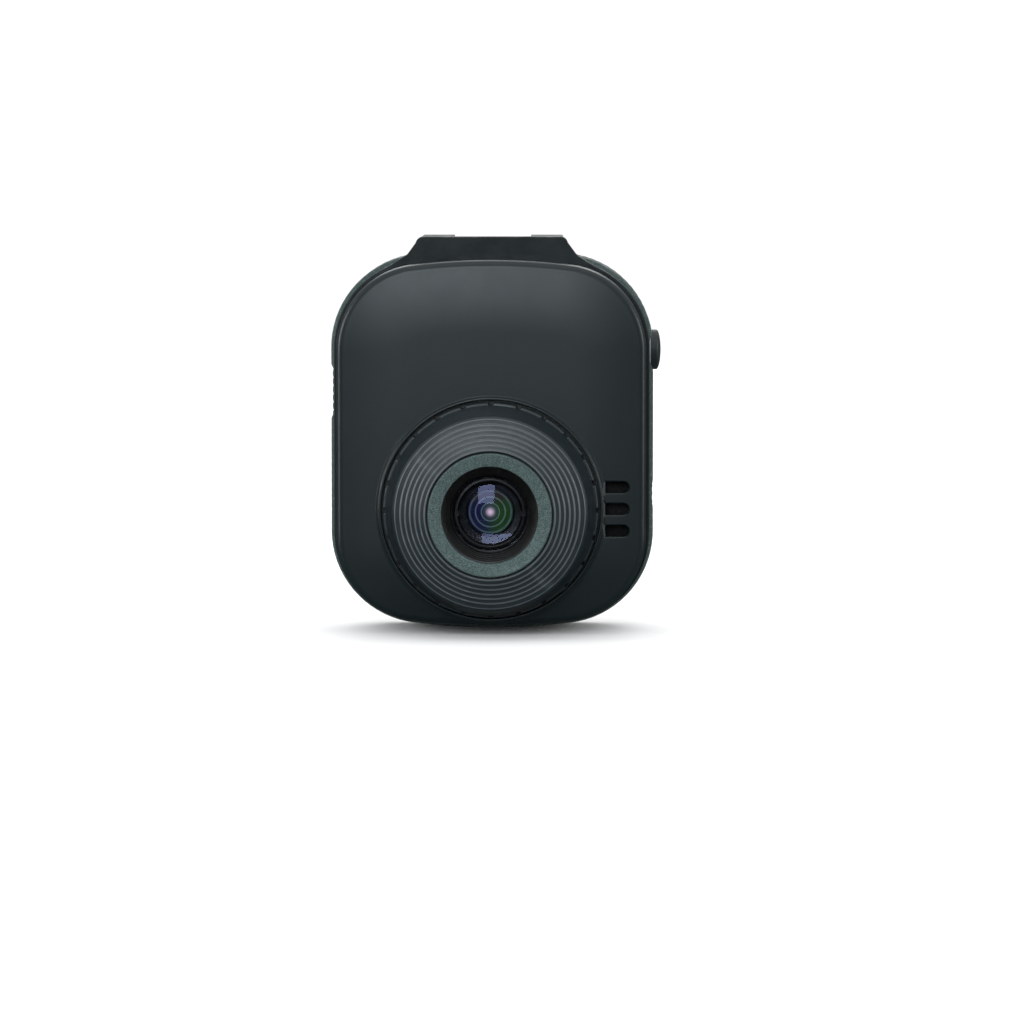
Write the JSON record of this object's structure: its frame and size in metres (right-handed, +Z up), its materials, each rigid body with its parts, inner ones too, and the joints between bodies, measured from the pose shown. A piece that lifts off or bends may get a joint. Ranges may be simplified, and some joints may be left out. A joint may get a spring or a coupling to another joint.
{
  "type": "dash camera",
  "caption": "Compact windscreen dash camera: rounded casing, stepped lens nose with notched ring, side button, rear screen and keys, T-slot shoe on top.",
  "frame": {"origin": "on the flat top of the bracket shoe, at the middle of the shoe's front wall", "axes": "+Z up through the shoe, +Y backwards towards the screen (the lens looks along -Y), +X towards the side with the round button"},
  "size_m": [0.0512, 0.0352, 0.0609],
  "materials": {
    "cover_plastic": "satin gloss, moulded",
    "frame_plastic": "smooth satin, moulded",
    "textured_plastic": "fine grained and ribbed, moulded",
    "ring_plastic": "satin, notched",
    "shroud_plastic": "satin gloss, stepped",
    "blasted_metal": "bead blasted and anodised",
    "black_plastic": "matt black",
    "anodised_metal": "black anodised",
    "retainer_metal": "turned",
    "lens_glass": "polished and coated",
    "chip_resin": "moulded resin",
    "circuit_board": "solder mask",
    "foam": "matt",
    "battery_foil": "foil pouch",
    "plated_steel": "tin plated",
    "flex_film": "polyimide film",
    "window_plastic": "hard coated, dark",
    "key_plastic": "satin, moulded",
    "light_plastic": "translucent",
    "screw_steel": "blackened"
  },
  "bodies": {
    "casing": {"front_cover": "cover_plastic", "mid_frame": "frame_plastic", "rear_housing": "textured_plastic", "lens_shroud": "shroud_plastic", "lens_trim_ring": "blasted_metal", "lens_baffle": "black_plastic", "lens_holder": "black_plastic", "speaker": "black_plastic", "ok_switch": "black_plastic", "down_switch": "black_plastic", "up_switch": "black_plastic", "menu_switch": "black_plastic", "power_switch": "black_plastic", "lens_barrel": "anodised_metal", "lens_spacer": "anodised_metal", "lens_retainer_ring": "retainer_metal", "front_lens": "lens_glass", "middle_lens": "lens_glass", "rear_lens": "lens_glass", "infrared_filter": "lens_glass", "image_sensor": "chip_resin", "processor_chip": "chip_resin", "memory_chip": "chip_resin", "motion_sensor_chip": "chip_resin", "main_board": "circuit_board", "key_board": "circuit_board", "battery_pad": "foam", "speaker_gauze": "foam", "battery_cell": "battery_foil", "microphone": "plated_steel", "lcd_panel": "plated_steel", "card_socket": "plated_steel", "usb_socket": "plated_steel", "power_button_bezel": "plated_steel", "display_flex": "flex_film", "display_window": "window_plastic", "status_led": "light_plastic", "status_light_pipe": "light_plastic", "housing_screw_upper_left": "screw_steel", "housing_screw_upper_right": "screw_steel", "housing_screw_lower_left": "screw_steel", "housing_screw_lower_right": "screw_steel", "board_screw_left": "screw_steel", "board_screw_right": "screw_steel", "board_screw_bottom": "screw_steel", "shroud_screw_1": "screw_steel", "shroud_screw_2": "screw_steel", "shroud_screw_3": "screw_steel"},
    "lens_ring": {"focus_ring": "ring_plastic"},
    "side_button": {"power_button": "key_plastic"},
    "menu_button": {"menu_key": "key_plastic"},
    "up_button": {"up_key": "key_plastic"},
    "down_button": {"down_key": "key_plastic"},
    "ok_button": {"ok_key": "key_plastic"},
    "card": {"memory_card": "black_plastic"}
  },
  "joints": [
    {"name": "focus_ring_turn", "type": "hinge", "parent": "casing", "child": "lens_ring", "pos_m": [0, -0.0096, -0.04155], "axis": [0, -1, 0], "range_deg": [-30, 30]},
    {"name": "power_button_press", "type": "slide", "parent": "casing", "child": "side_button", "axis": [-1, 0, 0], "range_m": [0, 0.0005], "stiffness_N_per_m": 400},
    {"name": "menu_key_press", "type": "slide", "parent": "casing", "child": "menu_button", "axis": [0, -1, 0], "range_m": [0, 0.0004], "stiffness_N_per_m": 400},
    {"name": "up_key_press", "type": "slide", "parent": "casing", "child": "up_button", "axis": [0, -1, 0], "range_m": [0, 0.0004], "stiffness_N_per_m": 400},
    {"name": "down_key_press", "type": "slide", "parent": "casing", "child": "down_button", "axis": [0, -1, 0], "range_m": [0, 0.0004], "stiffness_N_per_m": 400},
    {"name": "ok_key_press", "type": "slide", "parent": "casing", "child": "ok_button", "axis": [0, -1, 0], "range_m": [0, 0.0004], "stiffness_N_per_m": 400},
    {"name": "memory_card_slide", "type": "slide", "parent": "casing", "child": "card", "axis": [1, 0, 0], "range_m": [0, 0.012]}
  ]
}
